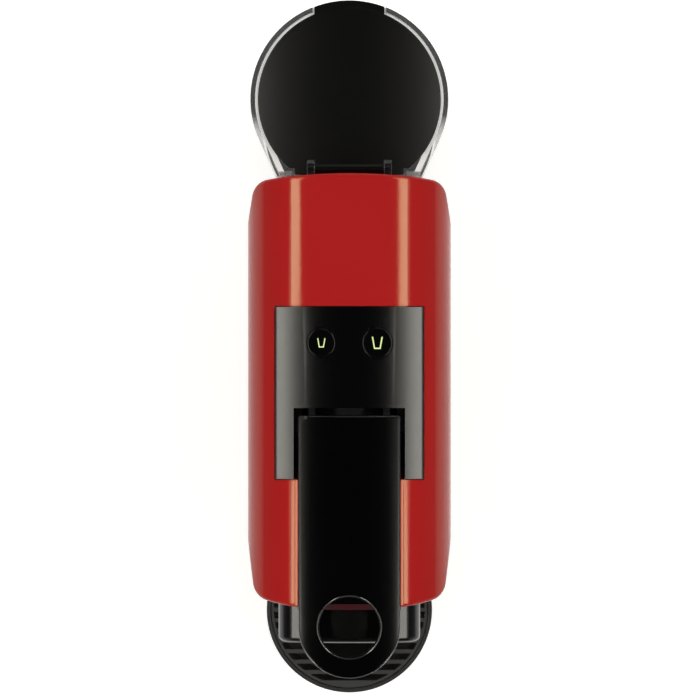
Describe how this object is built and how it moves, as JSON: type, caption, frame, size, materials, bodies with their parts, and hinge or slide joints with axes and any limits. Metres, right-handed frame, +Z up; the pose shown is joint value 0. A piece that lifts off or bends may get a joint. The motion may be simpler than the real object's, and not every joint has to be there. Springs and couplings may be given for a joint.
{
  "type": "pod coffee machine",
  "caption": "Slim pod coffee machine with a red shell, ringed lever over the capsule slot, cup-size buttons, clear rear water tank and a round drip tray in front.",
  "frame": {"origin": "on the table under the middle of the machine's box", "axes": "+Z up, -Y towards the drip tray and the user, +X to the user's right"},
  "size_m": [0.091, 0.33, 0.2032],
  "materials": {
    "red_shell": "glossy red moulded plastic",
    "black_gloss": "piano black moulded plastic",
    "black_plastic": "fine textured black plastic",
    "clear_plastic": "clear smoke grey plastic",
    "dark_plastic": "dark grey plastic",
    "rubber": "matt black rubber",
    "steel": "brushed steel",
    "aluminium": "cast aluminium",
    "pump_metal": "grey painted metal",
    "hose": "milky silicone",
    "circuit_board": "green solder mask"
  },
  "bodies": {
    "housing": {"outer_shell": "red_shell", "base_plate": "black_plastic", "cord_gland": "black_plastic", "rubber_feet": "rubber", "base_screws": "steel", "control_panel": "black_gloss", "button_board": "circuit_board", "button_switches": "black_plastic", "brew_chamber": "dark_plastic", "piercing_needles": "steel", "chamber_seal": "rubber", "brew_frame": "black_plastic", "frame_screws": "steel", "nose_cover": "black_gloss", "coffee_spout": "black_plastic", "coffee_gutter": "black_plastic", "tank_seat": "black_plastic", "flow_meter": "dark_plastic", "pump": "pump_metal", "pump_saddle": "black_plastic", "heater": "aluminium", "heater_bracket": "steel", "inlet_hose": "hose", "pump_hose": "hose", "heater_hose": "hose", "brew_hose": "hose", "main_board": "circuit_board", "board_standoffs": "circuit_board"},
    "lever": {"lever": "black_gloss", "lever_axle": "steel", "crank_arms": "steel", "crank_pins": "steel"},
    "carriage": {"brew_carriage": "black_plastic", "extraction_plate": "steel"},
    "small_button": {"small_cup_button": "black_gloss"},
    "large_button": {"large_cup_button": "black_gloss"},
    "tank": {"water_tank": "clear_plastic", "tank_valve": "dark_plastic", "valve_seal": "rubber"},
    "lid": {"tank_lid": "black_plastic", "lid_hinge_pin": "steel"},
    "pull_out": {"tray_carrier": "black_plastic", "tray_feet": "rubber", "capsule_container": "black_plastic", "drip_tray": "black_plastic"},
    "grid": {"drip_grid": "black_plastic"}
  },
  "joints": [
    {"name": "lever_hinge", "type": "hinge", "parent": "housing", "child": "lever", "pos_m": [0, -0.027, 0.1955], "axis": [-1, 0, 0], "range_deg": [0, 95]},
    {"name": "carriage_slide", "type": "slide", "parent": "housing", "child": "carriage", "axis": [0, -1, 0], "range_m": [0, 0.031]},
    {"name": "small_button_press", "type": "slide", "parent": "housing", "child": "small_button", "axis": [0, 0, -1], "range_m": [0, 0.0012], "stiffness_N_per_m": 500, "springref_m": -0.0005},
    {"name": "large_button_press", "type": "slide", "parent": "housing", "child": "large_button", "axis": [0, 0, -1], "range_m": [0, 0.0012], "stiffness_N_per_m": 500, "springref_m": -0.0005},
    {"name": "tank_lift", "type": "slide", "parent": "housing", "child": "tank", "axis": [0, 0, 1], "range_m": [0, 0.08]},
    {"name": "lid_hinge", "type": "hinge", "parent": "tank", "child": "lid", "pos_m": [0, 0.0892, 0.1736], "axis": [1, 0, 0], "range_deg": [0, 85]},
    {"name": "tray_pull", "type": "slide", "parent": "housing", "child": "pull_out", "axis": [0, -1, 0], "range_m": [0, 0.12]},
    {"name": "grid_lift", "type": "slide", "parent": "pull_out", "child": "grid", "axis": [0, 0, 1], "range_m": [0, 0.04]}
  ],
  "couplings": [
    {"joint": "carriage_slide", "follows": "lever_hinge", "m_per_rad": 0.018692}
  ]
}
